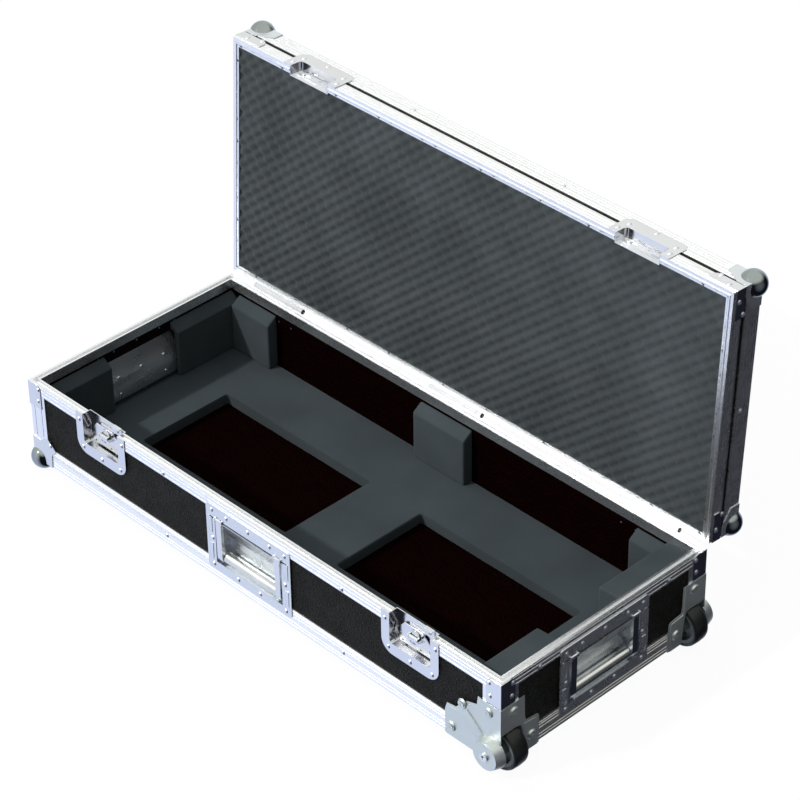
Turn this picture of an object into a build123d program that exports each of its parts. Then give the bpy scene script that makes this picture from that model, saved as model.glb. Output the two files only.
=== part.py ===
from build123d import *
import math
import os

os.makedirs("parts", exist_ok=True)

# Frame: X left to right, Y front to back, Z up. Origin: middle of the box, on the underside of the floor panel.

# Driving sizes in mm: the box
case_len = 1000.0        # over the edging, left to right
case_dep = 412.0         # over the edging, front to back
base_h = 145.0           # underside of the bottom edging to the seam
lid_h = 59.0             # seam to the top of the roof edging
lid_angle = 93.2         # how far the lid stands open
ply = 9.0                # panels
sheet = 1.5              # legs of the edging and of the corner angles
plate = 1.2              # pressed plates of the braces, dishes and ball corners
joint_gap = 0.3          # between pieces of different bodies
pad_gap = 0.2            # between a foam pad and what it lies against
cut_gap = 0.3            # round a dish in the ply and in the rims
shaft_gap = 0.05         # radial, a pin or an axle in its bore

# Edging and rims
edge_leg = 34.0
thinned = 0.2            # taken off the floor panel's underside round its flat middle
rim_h = 19.0
rim_w = 12.5
rim_cap = 9.5
groove_w0, groove_w1 = 4.0, 9.5     # from the outer face
groove_d = 4.5
tongue_w0, tongue_w1 = 5.2, 8.2
tongue_h = 3.5
seam_gap = 0.4
rib_w, rib_d = 1.2, 0.5
lid_rim_h = 23.0
lid_slot = 4.0           # dark slot between the lid's rim and its edging

# Hinges
hinge_off = 4.7          # axis behind the back face
knuckle_r = 4.4
pin_r = 2.0
hinge_len = 110.0
hinge_places = (-392.0, 0.0, 391.5)
hinge_stop_w = 23.0      # the lid's knuckle
hinge_stop_at = 33.0     # its middle, from the hinge's middle
leaf_low, leaf_high = 38.0, 20.0

# Handles
grip_r = 9.0
handle_w, handle_h = 179.0, 117.4
handle_open_w, handle_open_h = 142.0, 76.0
handle_mid_z = 72.8
handle_open_mid_z = 67.5
handle_depth = 20.0
handle_front_at = -4.5
handle_end_at = -2.0
bail_arm_w, bail_arm_t = 11.0, 4.0
bail_drop = 68.0         # pivot to the middle of the grip
grip_deep = 8.5          # middle of the grip behind the wall's face
ear_t = 2.5

# Latches
latch_left_at, latch_right_at = -331.5, 327.0   # along the front
latch_half = 56.0
latch_open_half = 40.0
latch_low_h = 71.0
latch_low_open = 51.5
latch_high_h = 46.0
latch_high_open = 22.0
tray_depth = 16.0
rotor_drop = 24.0        # rotor axis below the seam
spindle_r = 6.0
cam_r = 5.0
cam_off = 3.0
disc_r = 9.8
wing_r = 14.0

# Corners
ball_r = 20.5
ball_in = 9.0            # ball's centre inside the walls
roof_ball_in = 7.0       # and below the roof
foot_z = -20.5           # what the case stands on
wheel_r = 36.5
wheel_w = 28.0
wheel_in_x = 15.0        # axle from the end face
wheel_in_y = 8.0         # tyre from the front or back face
axle_r = 4.0
hub_r = 30.5
pocket_x, pocket_y, pocket_top = 58.0, 44.0, 56.5
bracket_t = 2.0
bracket_wide = 74.0      # of the bracket's end and foot plates
bracket_long = 105.0     # of its front and foot plates
cup_h, cup_r = 14.0, 22.0

# Foam
pad_t = 20.3
end_pad_t = 50.0
floor_foam_top = 28.5
pad_top = 122.5
end_pad_top = 131.5
pad_bevel = 12.0
cutouts = ((-381.0, -57.0), (53.0, 378.0))   # along X
cutout_y = (-88.0, 85.0)
back_blocks = ((-468.8, -382.0), (-57.0, 51.0), (382.0, 438.8))
front_blocks = ((-468.8, -382.0), (-266.0, -96.0), (92.0, 262.0), (382.0, 438.8))
left_pads = ((-195.3, -69.0), (65.0, 195.3))   # along Y
right_pads = ((-195.3, -73.0), (50.0, 195.3))
lid_foam_low = 5.0       # its face above the seam

# Fasteners
rivet_r, rivet_head_r, rivet_head_h = 1.6, 4.0, 2.0

# Derived
half_len, half_dep = case_len / 2, case_dep / 2
rim_z = base_h - sheet
lid_z = rim_z + seam_gap
inner = sheet + ply
wall_top = rim_z - rim_cap
hinge_y, hinge_z = half_dep + hinge_off, rim_z + seam_gap / 2
foam_x, foam_y = half_len - inner - pad_gap, half_dep - inner - pad_gap
wheel_x, wheel_z = half_len - wheel_in_x, foot_z + wheel_r
lid_edge_low = lid_rim_h + lid_slot
SIDES = ("front", "back", "left", "right")
swing = Pos(0, hinge_y, hinge_z) * Rot(-lid_angle, 0, 0) * Pos(0, -hinge_y, -hinge_z)
parts = {}


def face_plane(side, z=0.0):
    # Local frame of a wall's outer face: x along the wall, y up, z outwards
    spots = {
        "front": ((0, -half_dep, z), (1, 0, 0), (0, -1, 0)),
        "back": ((0, half_dep, z), (-1, 0, 0), (0, 1, 0)),
        "left": ((-half_len, 0, z), (0, -1, 0), (-1, 0, 0)),
        "right": ((half_len, 0, z), (0, 1, 0), (1, 0, 0)),
    }
    origin, x_dir, z_dir = spots[side]
    return Plane(origin=origin, x_dir=x_dir, z_dir=z_dir)


def on_lid(side, shape):
    # A piece drawn in a closed lid wall's frame, v = 0 at its seam, swung open with the lid
    return swing * (face_plane(side, lid_z) * shape)


def half_width(side):
    return half_len if side in ("front", "back") else half_dep


def slab(u0, u1, v0, v1, w0, w1):
    middle = Pos((u0 + u1) / 2, (v0 + v1) / 2, (w0 + w1) / 2)
    return middle * Box(u1 - u0, v1 - v0, w1 - w0)


def outline(points, start, length, axis):
    # Closed outline swept along an axis: its two coordinates are the other two, in the order given
    spots = {
        "u": [(start, v, w) for w, v in points],
        "v": [(u, start, w) for u, w in points],
        "w": [(u, v, start) for u, v in points],
    }
    ways = {"u": (1, 0, 0), "v": (0, 1, 0), "w": (0, 0, 1)}
    face = make_face(Polyline(*spots[axis], close=True))
    return extrude(face, amount=length, dir=ways[axis])


def rod(r, start, end, axis="w", u=0.0, v=0.0, w=0.0):
    turn = {"u": Rot(0, 90, 0), "v": Rot(90, 0, 0), "w": Rot(0, 0, 0)}[axis]
    middle = (start + end) / 2
    spot = {"u": (middle, v, w), "v": (u, middle, w), "w": (u, v, middle)}[axis]
    return Pos(*spot) * turn * Cylinder(r, abs(end - start))


def rounded_plate(width, height, radius, mid_v, w0, thick, mid_u=0.0):
    return extrude(Pos(mid_u, mid_v, w0) * RectangleRounded(width, height, radius), amount=thick)


def mitre(side, low, high, inside=60.0, outside=10.0):
    # What a mitred piece of the loop on this side may fill
    half = half_width(side)
    points = [
        (-half - outside, outside), (half + outside, outside),
        (half - inside, -inside), (-half + inside, -inside),
    ]
    return outline(points, low, high - low, "v")


def ribbed(body, half, places):
    # Fine grooves along the outer face of an edging leg
    for v in places:
        body -= slab(-half, half, v - rib_w / 2, v + rib_w / 2, -rib_d, 1)
    return body


def both_x(shape):
    return [shape, mirror(shape, about=Plane.YZ)]


def both_y(shape):
    return [shape, mirror(shape, about=Plane.XZ)]


def save(name, *shapes):
    solids = []
    for shape in shapes:
        solids += list(shape.solids()) if hasattr(shape, "solids") else list(shape)
    parts[name] = solids


def rivet(depth):
    # Domed head with its foot at z = 0, and the shank below it
    dome_r = (rivet_head_r ** 2 + rivet_head_h ** 2) / (2 * rivet_head_h)
    dome = Pos(0, 0, rivet_head_h - dome_r) * Sphere(dome_r)
    dome -= slab(-dome_r - 1, dome_r + 1, -dome_r - 1, dome_r + 1, -2 * dome_r, 0)
    return dome + rod(rivet_r, -depth, 0)


# Where every rivet goes: (side, group, u, v, height of the surface under its head)
rivets = []
BRACE_TOP = plate
LEAF_TOP = sheet


def handle_places():
    return (("front", handle_front_at), ("right", handle_end_at), ("left", -handle_end_at))


def latch_places():
    return (("left", latch_left_at), ("right", latch_right_at))


def place_rivets():
    for side in SIDES:
        half = half_width(side)
        for sign in (-1, 1):
            for back_off, drop in ((20, 31), (22, 9)):
                rivets.append((side, "base", sign * (half - back_off), rim_z - drop, BRACE_TOP))
        if side in ("front", "back"):
            for u in (-190, 190):
                rivets.append((side, "base", u, 14.0, 0.0))
                rivets.append((side, "base", u, rim_z - 14.5, 0.0))
        else:
            for u in (-130, 130):
                rivets.append((side, "base", u, rim_z - 14.5, 0.0))
    for side, signs in (("front", (-1,)), ("back", (1,)), ("left", (-1, 1))):
        for sign in signs:
            rivets.append((side, "base", sign * (half_width(side) - 40.5), 38.2, plate))
    for side, at in handle_places():
        for u in (-77.5, 77.5):
            for v in (22.4, 70.0, 121.5):
                rivets.append((side, "base", at + u, v, plate))
        for u in (-46, 0, 46):
            rivets.append((side, "base", at + u, 121.5, plate))
        for u in (-25, 22):
            rivets.append((side, "base", at + u, 21.5, plate))
    for name, at in latch_places():
        for u, v in ((-49, -13), (49, -13), (-43, -61), (43, -61), (0, -64)):
            rivets.append(("front", "base", at + u, rim_z + v, plate))
        for u, v in ((-48, 12), (48, 12), (-43, 30.5), (43, 30.5), (0, 39)):
            rivets.append(("front", "lid", at + u, v, plate))
    for place in hinge_places:
        for u in (-42, -14, 14, 42):
            rivets.append(("back", "base", -place + u, rim_z - 30, LEAF_TOP))
            rivets.append(("back", "lid", -place + u, 14.0, LEAF_TOP))
    for side in SIDES:
        half = half_width(side)
        for sign in (-1, 1):
            for back_off, v in ((18.8, 12.0), (41.7, 22.0)):
                rivets.append((side, "lid", sign * (half - back_off), v, BRACE_TOP))
        for u in ((-150, 150) if side in ("front", "back") else (0,)):
            rivets.append((side, "lid", u, 40.0, 0.0))


def rivet_group(group):
    out = []
    for side, which, u, v, top in rivets:
        if which != group:
            continue
        plane = face_plane(side, lid_z if group == "lid" else 0.0)
        depth = top + inner - 0.2
        out.append(plane * Pos(u, v, top) * rivet(depth))
    return out


def drilled(shape, side, group, halves=None):
    # Shank holes of this side's rivets, in the local frame of the side
    tools = []
    for rivet_side, which, u, v, top in rivets:
        if rivet_side == side and which == group:
            tools.append(rod(rivet_r + shaft_gap, -inner - 1, top + 2, u=u, v=v))
    box = shape.bounding_box()
    near = []
    for tool in tools:
        hole = tool.bounding_box()
        apart = (
            hole.min.X > box.max.X or hole.max.X < box.min.X
            or hole.min.Y > box.max.Y or hole.max.Y < box.min.Y
        )
        if not apart:
            near.append(tool)
    for tool in near:
        shape -= tool
    return shape


place_rivets()


# Handle pivots, v from the underside of the floor panel
open_low = handle_open_mid_z - handle_open_h / 2
open_high = handle_open_mid_z + handle_open_h / 2
pivot_v, pivot_w = open_low + 2.0 + grip_r + bail_drop, 0.6
arm_u = handle_open_w / 2 - bail_arm_w / 2 - 3.0
bail_pin_r = 1.6
eye_r = bail_pin_r + 1.4
notch_half = bail_arm_w / 2 + joint_gap
notch_top = pivot_v + eye_r + 3.0
notch_depth = 4.0


# What stands in the way of panels, rims and foam
def pocket_zone(grow=0.0):
    x0 = half_len - pocket_x - grow
    y0 = half_dep - pocket_y - grow
    box = slab(x0, half_len + 5, y0, half_dep + 5, -sheet - 5, pocket_top + grow)
    return both_y(box)


def dish_zone(side, at, grow, deep=0.0):
    half = handle_open_w / 2 + plate + grow
    tall = handle_open_h / 2 + plate + grow
    shape = slab(at - half, at + half, handle_open_mid_z - tall, handle_open_mid_z + tall,
                 -handle_depth - plate - deep, 5)
    for mid in (at - arm_u, at + arm_u):
        wide = notch_half + ear_t + grow
        shape += slab(mid - wide, mid + wide, handle_open_mid_z, notch_top + grow, -notch_depth - grow - deep, 5)
    return face_plane(side) * shape


def tray_zone(at, grow, deep=0.0):
    half = latch_open_half + plate + grow
    shape = slab(at - half, at + half, rim_z - latch_low_open - plate - grow, rim_z + 5,
                 -tray_depth - plate - deep, 5)
    return face_plane("front") * shape


def lid_tray_zone(at, grow, deep=0.0):
    half = latch_open_half + plate + grow
    shape = slab(at - half, at + half, -8, latch_high_open + plate + grow, -tray_depth - plate - deep, 5)
    return face_plane("front", lid_z) * shape


def nut_zone(r):
    # Round the axle's nut on the inner side of its pocket
    return both_y(face_plane("front") * rod(r, -pocket_y - 8, -pocket_y + 3, u=wheel_x, v=wheel_z))


def rim_leg_zones(gap):
    # Round the inner legs of the base rim
    low = rim_z - rim_h + 2 - gap
    zones = []
    for side in SIDES:
        half = half_width(side)
        zones.append(face_plane(side) * slab(-half, half, low, rim_z, -inner - sheet - gap, 0))
    return zones


def base_dishes(grow, deep=0.0):
    zones = [dish_zone(side, at, grow, deep) for side, at in handle_places()]
    return zones + [tray_zone(at, grow, deep) for name, at in latch_places()]


def without(shape, zones):
    box = shape.bounding_box()
    for zone in zones:
        other = zone.bounding_box()
        meet = (
            other.min.X < box.max.X and other.max.X > box.min.X
            and other.min.Y < box.max.Y and other.max.Y > box.min.Y
            and other.min.Z < box.max.Z and other.max.Z > box.min.Z
        )
        if meet:
            shape -= zone
    return shape


# Screws of one bracket: (side, distance from the corner, height)
bracket_screw_spots = (
    ("front", 91.5, 15.3), ("front", 70.3, 68.3), ("front", 21.0, 82.8),
    ("right", 23.0, 83.5), ("right", 58.5, 21.0),
)
screw_r, washer_r, washer_h = 2.5, 8.5, 2.6


def screw_holes():
    holes = []
    for side, off, v in bracket_screw_spots:
        u = half_len - off if side == "front" else off - half_dep
        hole = face_plane(side) * rod(screw_r + shaft_gap, -inner - 1, bracket_t + 1, u=u, v=v)
        holes += both_y(hole)
    return holes


# Base panels
def base_panels():
    zones = pocket_zone() + base_dishes(cut_gap) + screw_holes() + nut_zone(9.0)
    floor = slab(-half_len + inner, half_len - inner, -half_dep + inner, half_dep - inner, 0, ply)
    # its edges are thinned under the edging, so the flat middle ends clear of the edging and of the corners
    rest_in = edge_leg + 2.0
    rest = slab(-half_len + rest_in, half_len - bracket_long - 2.0, -half_dep + rest_in, half_dep - rest_in, -1, 1)
    floor -= slab(-half_len, half_len, -half_dep, half_dep, -1, thinned) - rest
    save("base_floor_panel", without(floor, zones))
    for side in SIDES:
        half = half_width(side) - (sheet if side in ("front", "back") else inner)
        wall = drilled(slab(-half, half, 0, wall_top, -inner, -sheet), side, "base")
        save(f"base_{side}_panel", without(face_plane(side) * wall, zones))


# Double-angle edging round the bottom, in four mitred lengths
def bottom_edging():
    pieces = []
    ell = [(0, -sheet), (0, edge_leg - sheet), (-sheet, edge_leg - sheet), (-sheet, 0),
           (-edge_leg, 0), (-edge_leg, -sheet)]
    for side in SIDES:
        half = half_width(side)
        body = outline(ell, -half, 2 * half, "u")
        body = ribbed(body, half, (3.5, 9.0, 20.0, 25.5, 29.5))
        body = drilled(body & mitre(side, -5, edge_leg), side, "base")
        pieces.append(without(face_plane(side) * body, pocket_zone() + screw_holes() + base_dishes(cut_gap)))
    save("base_bottom_edging", *pieces)


def corner_angles():
    low, high = edge_leg - sheet, rim_z - rim_h
    ell = [(0, 0), (edge_leg, 0), (edge_leg, sheet), (sheet, sheet), (sheet, edge_leg), (0, edge_leg)]
    face = make_face(Polyline(*[(x, y, low) for x, y in ell], close=True))
    angle = extrude(face, amount=high - low, dir=(0, 0, 1))
    for near in (9.0, 25.0):
        angle -= slab(near - rib_w / 2, near + rib_w / 2, -1, rib_d, low - 1, high + 1)
        angle -= slab(-1, rib_d, near - rib_w / 2, near + rib_w / 2, low - 1, high + 1)
    corner = Pos(-half_len, -half_dep, 0) * angle
    pieces = []
    for shape in both_x(corner):
        pieces += [without(piece, pocket_zone() + screw_holes()) for piece in both_y(shape)]
    for side in SIDES:
        plane = face_plane(side)
        for i, piece in enumerate(pieces):
            pieces[i] = plane * drilled(plane.location.inverse() * piece, side, "base")
    save("base_corner_angles", *pieces)


def rim_length(side, points, level, group, grooves, zones):
    half = half_width(side)
    body = outline(points, -half, 2 * half, "u")
    body = ribbed(body, half, grooves)
    low = min(v for w, v in points)
    high = max(v for w, v in points)
    body = drilled(body & mitre(side, low - 1, high + 1), side, group)
    return without(face_plane(side, level) * body, zones)


# Female rim: a cap with the groove, an outer leg over the panel and an inner leg behind it
def base_rims():
    top, low = rim_z, rim_z - rim_h
    points = [
        (0, low), (0, top), (-groove_w0, top), (-groove_w0, top - groove_d), (-groove_w1, top - groove_d),
        (-groove_w1, top), (-rim_w, top), (-rim_w, top - 3), (-inner - sheet, top - 4.5),
        (-inner - sheet, low + 2), (-inner, low + 2), (-inner, wall_top), (-sheet, wall_top), (-sheet, low),
    ]
    zones = [tray_zone(at, cut_gap) for name, at in latch_places()]
    lengths = {s: rim_length(s, points, 0.0, "base", (top - 2.5, top - 8.5, low + 3.5), zones) for s in SIDES}
    save("base_rim_long", lengths["front"], lengths["back"])
    save("base_rim_short", lengths["left"], lengths["right"])


# L-shaped brace over a corner of a rim
def brace(width_a, width_b, low, high, notch):
    def leg(width):
        flat = slab(0, width, low, high, 0, plate)
        trim = slab(width - notch, width + 1, high - notch, high + 1, -1, plate + 1)
        round_part = rod(notch, -1, plate + 1, u=width - notch, v=high - notch)
        return flat - (trim - round_part)
    front = Plane.XZ * leg(width_a)
    side = mirror(Plane.YZ * leg(width_b), about=Plane.YZ)
    post = slab(-plate, 0, -plate, 0, low, high)
    return front + side + post


def corner_set(corner):
    pieces = []
    for shape in both_x(corner):
        pieces += both_y(shape)
    return pieces


def drilled_all(pieces, group, level):
    out = []
    for piece in pieces:
        for side in SIDES:
            plane = face_plane(side, level)
            piece = plane * drilled(plane.location.inverse() * piece, side, group)
        out.append(piece)
    return out


def base_braces():
    shape = brace(27, 27, rim_z - 44, rim_z - 1, 10)
    corner = Pos(-half_len, -half_dep, 0) * shape
    save("base_corner_braces", *drilled_all(corner_set(corner), "base", 0.0))


# Pressed ball corner: three L-shaped plates and a hollow ball outside the faces; the corner is at the origin
def ball_corner(legs, deep, webbed):
    def flat(a, b):
        cut = 17.0
        points = [(-plate, -plate), (a, -plate), (a, cut), (cut, b), (-plate, b)]
        return outline(points, 0, plate, "w")

    def web(a, b):
        # with a riveted web across the corner between the angle and the edging
        points = [
            (-plate, -plate), (a, -plate), (a + 1.5, edge_leg - 11), (a + 12.5, edge_leg), (edge_leg + 1, b + 9),
            (edge_leg - 1, b + 9), (17, b - 2), (-plate, b),
        ]
        return outline(points, 0, plate, "w")

    wall = web if webbed else flat
    x_leg, y_leg, z_leg = legs
    bottom = Pos(0, 0, -plate) * flat(x_leg, y_leg)
    front = Plane.XZ * wall(x_leg, z_leg)
    side = mirror(Plane.YZ * wall(y_leg, z_leg), about=Plane.YZ)
    spot = Pos(ball_in, ball_in, deep)
    far = 2 * ball_r
    case = slab(0, far, 0, far, 0, far)
    shell = spot * Sphere(ball_r) - case
    hollow = spot * Sphere(ball_r - plate) - case
    return (bottom + front + side + shell) - hollow


def ball_corners():
    corner = Pos(-half_len, -half_dep, -sheet) * ball_corner((41, 41, 41), foot_z + ball_r + sheet, True)
    save("base_ball_corners", *drilled_all(both_y(corner), "base", 0.0))
    roof = mirror(ball_corner((46, 42, 34), roof_ball_in, False), about=Plane.XY)
    corner = Pos(-half_len, -half_dep, lid_z + lid_h) * roof
    save("lid_ball_corners", *[swing * p for p in corner_set(corner)])


# Wheel bracket on the front right corner: front and end plates, foot plate, hub cup and the pocket inside
def bracket_front_plate():
    axle_u, axle_v = half_len - wheel_in_x, wheel_z
    edge, low = half_len, -sheet - bracket_t

    def shape(grow, w0, thick):
        far = bracket_long - 4 + grow
        points = [
            (0, 98.5), (38 + grow, 98.5), (40 + grow, 79 + grow), (59 + grow, 73 + grow), (80 + grow, 50 + grow),
            (far - 4, 47.5 + grow), (far, 34.5 + grow), (far, low), (51, low), (36, 4), (wheel_in_x, wheel_z),
            (0, wheel_z),
        ]
        flat = [(edge - a, v) for a, v in points]
        return outline(flat, w0, thick, "w")

    body = shape(4, 0, plate) + shape(0, plate, bracket_t - plate)
    web = [(edge - a, v) for a, v in ((61, 62), (30, 38), (44, 24), (70, 50))]
    body += outline(web, bracket_t - 0.5, 1.7, "w")
    slit = [(edge - a, v) for a, v in ((61.5, 63.5), (29, 38.5), (28, 40), (60.5, 65))]
    body -= outline(slit, bracket_t - 1.2, 4, "w")
    top = bracket_t + cup_h
    cup = Pos(axle_u, axle_v, (plate + top) / 2) * Cone(cup_r + 4, cup_r, top - plate)
    void = Pos(axle_u, axle_v, (top - plate) / 2 - 1) * Cone(cup_r + 2.8, cup_r - plate, top - plate + 2)
    body = (body + cup + rod(cup_r + 4, 0, plate, u=axle_u, v=axle_v)) - void
    return body - rod(axle_r + shaft_gap, -1, top + 1, u=axle_u, v=axle_v)


def bracket_end_plate():
    low = -sheet - bracket_t
    gap_y = wheel_in_y + wheel_w + 4.0

    def shape(grow, w0, thick):
        far = bracket_wide - 4 + grow
        points = [
            (0, 98.5), (41 + grow, 98.5), (42 + grow, 58 + grow), (44 + grow, 49 + grow), (far - 3, 46 + grow),
            (far, 42 + grow), (far, low), (gap_y + 6, low), (gap_y + 1, pocket_top - 16),
            (gap_y - 3, pocket_top - 5), (gap_y - 12, pocket_top - 4), (0, pocket_top - 4),
        ]
        flat = [(b - half_dep, v) for b, v in points]
        return outline(flat, w0, thick, "w")

    return shape(4, 0, plate) + shape(0, plate, bracket_t - plate)


def wheel_bracket():
    front = face_plane("front") * bracket_front_plate()
    end = face_plane("right") * bracket_end_plate()
    low = -sheet - bracket_t
    post = slab(half_len, half_len + bracket_t, -half_dep - bracket_t, -half_dep, 38, 98.5)
    foot = slab(half_len - bracket_long, half_len, -half_dep, -half_dep + bracket_wide, low, -sheet)
    foot -= slab(half_len - pocket_x + sheet, half_len + 9, -half_dep - 9, -half_dep + pocket_y - sheet, low - 1, 0)
    x0, y1 = half_len - pocket_x, -half_dep + pocket_y
    shell = slab(x0, half_len, -half_dep, y1, low, pocket_top)
    shell -= slab(x0 + sheet, half_len + 9, -half_dep - 9, y1 - sheet, low - 1, pocket_top - sheet)
    bolt = face_plane("front") * rod(axle_r + shaft_gap, -pocket_y - 2, 20, u=wheel_x, v=wheel_z)
    return (front + end + post + foot + shell) - bolt


def bracket_screws():
    out = []
    for side, off, v in bracket_screw_spots:
        u = half_len - off if side == "front" else off - half_dep
        cup = Pos(u, v, bracket_t + washer_h / 2) * Cone(washer_r, washer_r - 1.8, washer_h)
        cup -= Pos(u, v, bracket_t + washer_h) * Cone(4.0, 5.8, 1.6)
        head = Pos(u, v, bracket_t + washer_h) * Cone(3.9, 5.2, 1.5)
        head -= slab(u - 2.6, u + 2.6, v - 0.5, v + 0.5, bracket_t + washer_h, bracket_t + washer_h + 1)
        head -= slab(u - 0.5, u + 0.5, v - 2.6, v + 2.6, bracket_t + washer_h, bracket_t + washer_h + 1)
        shank = rod(screw_r, -inner + 0.5, bracket_t + washer_h - 0.5, u=u, v=v)
        cup -= rod(screw_r + shaft_gap, -1, 9, u=u, v=v)
        plane = face_plane(side)
        out.append(plane * cup)
        out.append(plane * (head + shank))
    return out


def wheels():
    plane = face_plane("front")
    spot = Pos(wheel_x, wheel_z, 0)
    w_out, w_in = -wheel_in_y, -wheel_in_y - wheel_w
    mid = (w_out + w_in) / 2
    bore = axle_r + shaft_gap

    def turned(points):
        face = make_face(Polyline(*[(r, 0, w) for r, w in points], close=True))
        return plane * spot * revolve(face, axis=Axis.Z)

    barrel, web_r, ring = 12.0, 24.0, hub_r - 0.1
    hub = turned([
        (bore, w_in - 1), (barrel, w_in - 1), (barrel + 1, mid - 3), (web_r, mid - 3), (web_r + 1, w_in + 1.5),
        (ring, w_in + 1.5), (ring, w_out - 1.5), (web_r + 1, w_out - 1.5), (web_r, mid + 3),
        (barrel + 1, mid + 3), (barrel, w_out + 1), (bore, w_out + 1),
    ])
    for i in range(5):
        turn = Rot(0, 0, 72 * i)
        hub -= plane * spot * turn * rod(3.2, w_in - 2, w_out + 2, u=18.3)
    shoulder, crown = 4.5, 0.6
    tyre = turned([
        (hub_r, w_in + 1), (wheel_r - shoulder, w_in), (wheel_r - 1.6, w_in + 1.4), (wheel_r - crown, w_in + 4),
        (wheel_r, mid), (wheel_r - crown, w_out - 4), (wheel_r - 1.6, w_out - 1.4), (wheel_r - shoulder, w_out),
        (hub_r, w_out - 1),
    ])
    top = bracket_t + cup_h
    axle = rod(axle_r, -pocket_y - 7, top, u=wheel_x, v=wheel_z)
    axle += rod(7.0, top, top + 3, u=wheel_x, v=wheel_z)
    axle -= Pos(wheel_x, wheel_z, top + 1) * extrude(RegularPolygon(3.2, 6), amount=3)
    collar_out = rod(7.0, w_out + 1 + joint_gap, top - plate, u=wheel_x, v=wheel_z)
    collar_in = rod(7.0, -pocket_y + sheet, w_in - 1 - joint_gap, u=wheel_x, v=wheel_z)
    axle += collar_out + collar_in
    nut = Pos(wheel_x, wheel_z, -pocket_y - 5.5) * extrude(RegularPolygon(7.5, 6), amount=5.5)
    nut -= rod(axle_r + shaft_gap, -pocket_y - 9, 0, u=wheel_x, v=wheel_z)
    axles = [plane * axle, plane * nut]
    bracket = without(wheel_bracket(), screw_holes())
    screws = bracket_screws()
    for name, flip in (("front", False), ("back", True)):
        turn = (lambda s: mirror(s, about=Plane.XZ)) if flip else (lambda s: s)
        save(f"wheel_hub_{name}", turn(hub))
        save(f"wheel_tyre_{name}", turn(tyre))
        save(f"wheel_bracket_{name}", turn(bracket))
    save("wheel_axles", *[p for a in axles for p in both_y(a)])
    save("bracket_screws", *[p for s in screws for p in both_y(s)])


# Latch, base half: tray with flange and bearing plate. Local v = 0 is the seam.
tray_back = -tray_depth + plate
claw_w0, claw_w1 = tray_back + 0.4, tray_back + 2.4
bearing_w0, bearing_w1 = tray_back + 2.8, tray_back + 4.3
disc_w0, disc_w1 = bearing_w1 + joint_gap, bearing_w1 + 1.8
wing_axis_w = disc_w1 + 2.9
ear_u0, ear_u1 = 7.4, 9.8


def latch_tray():
    flange = rounded_plate(2 * latch_half, latch_low_h + 30, 22, (30 - latch_low_h) / 2, 0, plate)
    flange -= slab(-99, 99, 0, 60, -1, 5)
    half, low = latch_open_half, latch_low_open
    outer = rounded_plate(2 * half + 2 * plate, low + plate + 30, 6 + plate, (-low - plate + 30) / 2, -tray_depth,
                          tray_depth)
    void = rounded_plate(2 * half, low + 40, 6, (-low + 40) / 2, tray_back, tray_depth + 9)
    tray = (flange + outer) - void
    tray -= slab(-99, 99, 0, 60, -tray_depth - 1, 5)
    bearing = outline([(-36, -30), (-22, -13), (14, -13), (20, -19), (36, -36), (32, -48), (-30, -48)],
                      bearing_w0, bearing_w1 - bearing_w0, "w")
    bearing += rod(3, tray_back, bearing_w0, u=-28, v=-40) + rod(3, tray_back, bearing_w0, u=28, v=-42)
    bearing -= rod(spindle_r + shaft_gap, -20, 9, v=-rotor_drop)
    for u, v in ((-30, -33), (-25, -45), (27, -38), (10, -44)):
        bearing -= rod(1.6, bearing_w0 - 0.1, 9, u=u, v=v)
    return tray + bearing


def latch_rotor():
    cam = rod(cam_r, claw_w0 - 0.2, bearing_w0 - 0.2, v=-rotor_drop + cam_off)
    body = rod(spindle_r, bearing_w0 - 0.25, disc_w1, v=-rotor_drop) + cam
    body += rod(disc_r, disc_w0, disc_w1, v=-rotor_drop)
    for side in (-1, 1):
        u0, u1 = sorted((side * ear_u0, side * ear_u1))
        ear = slab(u0, u1, -rotor_drop - 2.6, -rotor_drop + 2.6, disc_w1 - 0.2, wing_axis_w)
        ear += rod(2.6, u0, u1, "u", v=-rotor_drop, w=wing_axis_w)
        body += ear
    body -= rod(1.2 + shaft_gap, -20, 20, "u", v=-rotor_drop, w=wing_axis_w)
    pin = rod(1.2, -ear_u1, ear_u1, "u", v=-rotor_drop, w=wing_axis_w)
    return [body, pin]


def latch_wing():
    thick = 1.4
    w0 = wing_axis_w - thick / 2
    disc = rod(wing_r, w0, w0 + thick, v=-rotor_drop)
    disc -= slab(-99, 99, -rotor_drop - 4, 99, w0 - 1, w0 + 3)
    slot = rounded_plate(11, 3, 1.4, -rotor_drop - 8.5, w0 - 1, 4)
    tab = slab(-7, 7, -rotor_drop - 5, -rotor_drop, w0, w0 + thick)
    barrel = rod(2.3, -7, 7, "u", v=-rotor_drop, w=wing_axis_w)
    wing = (disc - slot) + tab + barrel
    return wing - rod(1.2 + shaft_gap, -8, 8, "u", v=-rotor_drop, w=wing_axis_w)


def latch_claw():
    mid = -rotor_drop + cam_off
    half_slot = cam_r + 0.9
    points = [
        (-13, mid - 11), (13, mid - 11), (13, mid + 3), (19, -12), (34, -12), (34, 3), (18, 3), (10, -9), (-13, -9),
    ]
    claw = outline(points, claw_w0, claw_w1 - claw_w0, "w")
    claw -= slab(-cam_r - cam_off - 0.6, cam_r + cam_off + 0.6, mid - half_slot, mid + half_slot, -20, 9)
    claw += slab(18, 34, 1, 3, claw_w0, claw_w0 + 7)
    claw -= rod(3.2, -20, 9, u=26, v=-5)
    return claw


def latches():
    for name, at in latch_places():
        plane = face_plane("front", rim_z)
        spot = Pos(at, 0, 0)
        tray = Pos(0, rim_z, 0) * spot * latch_tray()
        save(f"latch_tray_{name}", face_plane("front") * drilled(tray, "front", "base"))
        save(f"latch_rotor_{name}", *[plane * spot * s for s in latch_rotor()])
        save(f"latch_wing_{name}", plane * spot * latch_wing())
        save(f"latch_claw_{name}", plane * spot * latch_claw())


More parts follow.
